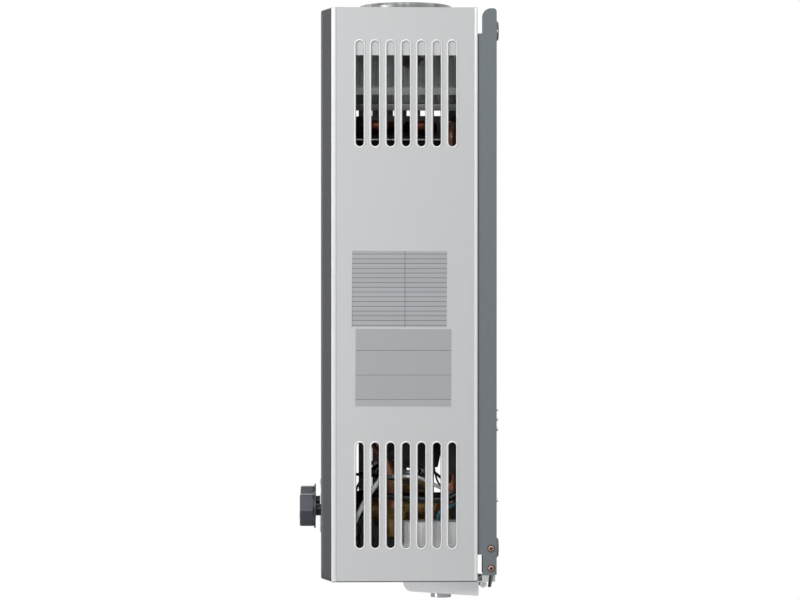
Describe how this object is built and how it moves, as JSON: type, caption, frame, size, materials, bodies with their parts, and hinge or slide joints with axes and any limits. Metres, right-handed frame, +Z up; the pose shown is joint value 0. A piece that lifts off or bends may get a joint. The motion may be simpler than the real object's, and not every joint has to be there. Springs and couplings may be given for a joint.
{
  "type": "gas water heater",
  "caption": "Wall-hung open-flued gas water heater with slotted sides, a round flue collar, two hexagon knobs, a round display, pipe stubs and a battery door below.",
  "frame": {"origin": "on the wall plane, midway between the two upper hanging slots", "axes": "+X to the user's right, -Y out of the wall towards the user, +Z up"},
  "size_m": [0.3418, 0.2026, 0.6173],
  "materials": {
    "plate_steel": "satin grey coating on sheet steel",
    "casing_paint": "silver-grey powder coat",
    "front_paint": "silver-grey powder coat",
    "bezel_metal": "spun bright ring",
    "display_glass": "dark smoked display window",
    "dark_plastic": "dark moulded plastic",
    "knob_plastic": "dark blue-grey, slightly glossy",
    "spindle_steel": "turned steel",
    "bright_galvanised": "bright zinc",
    "galvanised": "dull zinc with streaks",
    "sensor_body": "black phenolic with metal cap",
    "tinned_copper": "heat-darkened copper sheet",
    "copper": "bare copper tube",
    "brass": "machined and cast brass",
    "burner_steel": "aluminised burner steel",
    "manifold_alloy": "dark die casting",
    "ceramic_white": "glazed white insulator",
    "valve_alloy": "grey die casting",
    "solenoid_black": "black coil cover in a steel yoke",
    "screw_steel": "zinc-plated",
    "stub_metal": "nickel-plated",
    "box_plastic": "white moulded plastic",
    "contact_steel": "nickel-plated contact",
    "controller_plastic": "black moulded box",
    "screw_tinted": "yellow-passivated",
    "lead_black": "black insulation"
  },
  "bodies": {
    "heater": {"back_plate": "plate_steel", "casing_wrap": "casing_paint", "casing_top": "casing_paint", "casing_bottom": "casing_paint", "front_panel": "front_paint", "display_bezel": "bezel_metal", "display_lens": "display_glass", "display_module": "dark_plastic", "flue_collar": "bright_galvanised", "draught_hood": "galvanised", "hood_deflector": "galvanised", "hood_brackets": "galvanised", "spill_thermostat": "sensor_body", "combustion_chamber": "tinned_copper", "exchanger_fins": "tinned_copper", "exchanger_tubes": "copper", "exchanger_rails": "bright_galvanised", "feed_pipe": "copper", "outlet_pipe": "copper", "union_nuts": "brass", "temperature_sensor": "sensor_body", "overheat_thermostat": "sensor_body", "burner_frame": "burner_steel", "burner_bars": "burner_steel", "gas_manifold": "manifold_alloy", "gas_riser": "manifold_alloy", "electrodes": "ceramic_white", "electrode_bracket": "burner_steel", "gas_valve_body": "valve_alloy", "solenoid_valve": "solenoid_black", "water_valve_body": "brass", "diaphragm_cover": "brass", "cover_screws": "screw_steel", "switch_bracket": "bright_galvanised", "microswitch": "dark_plastic", "gas_inlet": "stub_metal", "cold_inlet": "stub_metal", "hot_outlet": "stub_metal", "lock_nuts": "stub_metal", "drain_plug": "brass", "battery_box": "box_plastic", "battery_contacts": "contact_steel", "lid_pin": "spindle_steel", "ignition_controller": "controller_plastic", "controller_bracket": "bright_galvanised", "plate_brackets": "bright_galvanised", "plate_screws": "screw_steel", "flange_screws": "screw_tinted", "electrode_leads": "lead_black", "solenoid_lead": "lead_black", "battery_lead": "lead_black", "display_harness": "lead_black"},
    "gas_control": {"gas_knob": "knob_plastic", "gas_spindle": "spindle_steel"},
    "water_control": {"water_knob": "knob_plastic", "water_spindle": "spindle_steel"},
    "diaphragm_rod": {"push_rod": "spindle_steel"},
    "gas_rod": {"gas_plunger": "spindle_steel"},
    "switch_arm": {"switch_lever": "bright_galvanised"},
    "battery_door": {"battery_lid": "box_plastic"}
  },
  "joints": [
    {"name": "gas_knob_turn", "type": "hinge", "parent": "heater", "child": "gas_control", "pos_m": [-0.055, -0.131, -0.493], "axis": [0, 1, 0], "range_deg": [0, 120]},
    {"name": "water_knob_turn", "type": "hinge", "parent": "heater", "child": "water_control", "pos_m": [0.055, -0.131, -0.493], "axis": [0, 1, 0], "range_deg": [0, 270]},
    {"name": "rod_slide", "type": "slide", "parent": "heater", "child": "diaphragm_rod", "axis": [-1, 0, 0], "range_m": [0, 0.004], "stiffness_N_per_m": 800},
    {"name": "plunger_slide", "type": "slide", "parent": "heater", "child": "gas_rod", "axis": [-1, 0, 0], "range_m": [0, 0.00401]},
    {"name": "lever_swing", "type": "hinge", "parent": "heater", "child": "switch_arm", "pos_m": [-0.0064, -0.09, -0.4765], "axis": [0, 1, 0], "range_deg": [0, 22.2]},
    {"name": "battery_door_hinge", "type": "hinge", "parent": "heater", "child": "battery_door", "pos_m": [0.1321, -0.017, -0.5603], "axis": [1, 0, 0], "range_deg": [0, 90]}
  ],
  "couplings": [
    {"joint": "plunger_slide", "follows": "rod_slide", "ratio": 1},
    {"joint": "lever_swing", "follows": "rod_slide", "rad_per_m": 96}
  ]
}
